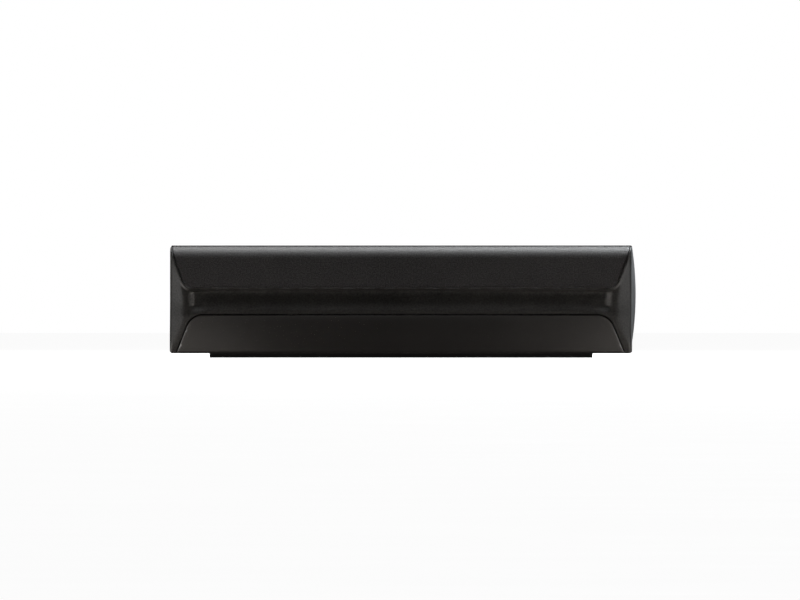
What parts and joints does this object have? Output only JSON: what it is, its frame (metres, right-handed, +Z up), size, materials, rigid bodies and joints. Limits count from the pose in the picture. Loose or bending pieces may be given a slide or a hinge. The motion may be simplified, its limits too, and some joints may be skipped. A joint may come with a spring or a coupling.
{
  "type": "soundbar",
  "caption": "Compact soundbar with a faceted front, cloth grille over its top edge, top buttons and a rear connector bay.",
  "frame": {"origin": "middle of the footprint, on the surface the soundbar stands on", "axes": "+X to the listener's right along the bar, the front faces -Y, +Z up"},
  "size_m": [0.3646, 0.104, 0.088],
  "materials": {
    "textured_plastic": "fine sand texture",
    "cloth": "close woven cloth",
    "satin_plastic": "satin",
    "inner_plastic": "matte",
    "rubber": "matte",
    "board": "lacquered",
    "steel": "plain",
    "black_steel": "black zinc",
    "ferrite": "matte",
    "copper": "enamelled wire",
    "paper": "pressed pulp",
    "alloy": "satin",
    "brass": "knurled"
  },
  "bodies": {
    "housing": {"front_bezel": "textured_plastic", "grille_frame": "inner_plastic", "grille_cloth": "cloth", "lower_fascia": "satin_plastic", "top_deck": "textured_plastic", "left_end_cap": "textured_plastic", "right_end_cap": "textured_plastic", "rear_panel": "textured_plastic", "connector_bay": "inner_plastic", "bottom_tray": "textured_plastic", "front_foot": "rubber", "rear_foot": "rubber", "control_board": "board", "tact_switches": "steel", "front_baffle": "inner_plastic", "left_divider": "inner_plastic", "right_divider": "inner_plastic", "left_basket": "steel", "right_basket": "steel", "left_magnet": "ferrite", "right_magnet": "ferrite", "left_yoke": "steel", "right_yoke": "steel", "left_spider": "paper", "right_spider": "paper", "left_surround": "rubber", "right_surround": "rubber", "left_radiator_frame": "inner_plastic", "right_radiator_frame": "inner_plastic", "left_radiator_surround": "rubber", "right_radiator_surround": "rubber", "main_board": "board", "amplifier_chips": "inner_plastic", "heat_sink": "alloy", "capacitors": "inner_plastic", "wireless_module": "alloy", "hdmi_socket": "steel", "usb_socket": "steel", "optical_socket": "inner_plastic", "aux_socket": "inner_plastic", "dc_inlet": "inner_plastic", "indicator_board": "board", "speaker_leads": "rubber", "small_screws": "steel", "housing_screws": "black_steel", "wall_inserts": "brass"},
    "power_button": {"power_button": "satin_plastic"},
    "source_button": {"source_button": "satin_plastic"},
    "mute_button": {"mute_button": "satin_plastic"},
    "volume_down_button": {"volume_down_button": "satin_plastic"},
    "volume_up_button": {"volume_up_button": "satin_plastic"},
    "left_cone": {"left_cone": "paper", "left_dust_cap": "paper", "left_voice_coil": "copper"},
    "right_cone": {"right_cone": "paper", "right_dust_cap": "paper", "right_voice_coil": "copper"},
    "left_radiator": {"left_radiator": "satin_plastic"},
    "right_radiator": {"right_radiator": "satin_plastic"}
  },
  "joints": [
    {"name": "power_button_press", "type": "slide", "parent": "housing", "child": "power_button", "axis": [0, 0, -1], "range_m": [0, 0.0007], "stiffness_N_per_m": 600, "springref_m": -0.0005},
    {"name": "source_button_press", "type": "slide", "parent": "housing", "child": "source_button", "axis": [0, 0, -1], "range_m": [0, 0.0007], "stiffness_N_per_m": 600, "springref_m": -0.0005},
    {"name": "mute_button_press", "type": "slide", "parent": "housing", "child": "mute_button", "axis": [0, 0, -1], "range_m": [0, 0.0007], "stiffness_N_per_m": 600, "springref_m": -0.0005},
    {"name": "volume_down_button_press", "type": "slide", "parent": "housing", "child": "volume_down_button", "axis": [0, 0, -1], "range_m": [0, 0.0007], "stiffness_N_per_m": 600, "springref_m": -0.0005},
    {"name": "volume_up_button_press", "type": "slide", "parent": "housing", "child": "volume_up_button", "axis": [0, 0, -1], "range_m": [0, 0.0007], "stiffness_N_per_m": 600, "springref_m": -0.0005},
    {"name": "left_cone_travel", "type": "slide", "parent": "housing", "child": "left_cone", "axis": [0, -0.7071, 0.7071], "range_m": [-0.002, 0.002], "stiffness_N_per_m": 900},
    {"name": "right_cone_travel", "type": "slide", "parent": "housing", "child": "right_cone", "axis": [0, -0.7071, 0.7071], "range_m": [-0.002, 0.002], "stiffness_N_per_m": 900},
    {"name": "left_radiator_travel", "type": "slide", "parent": "housing", "child": "left_radiator", "axis": [0, 1, 0], "range_m": [-0.002, 0.002], "stiffness_N_per_m": 600},
    {"name": "right_radiator_travel", "type": "slide", "parent": "housing", "child": "right_radiator", "axis": [0, 1, 0], "range_m": [-0.002, 0.002], "stiffness_N_per_m": 600}
  ]
}
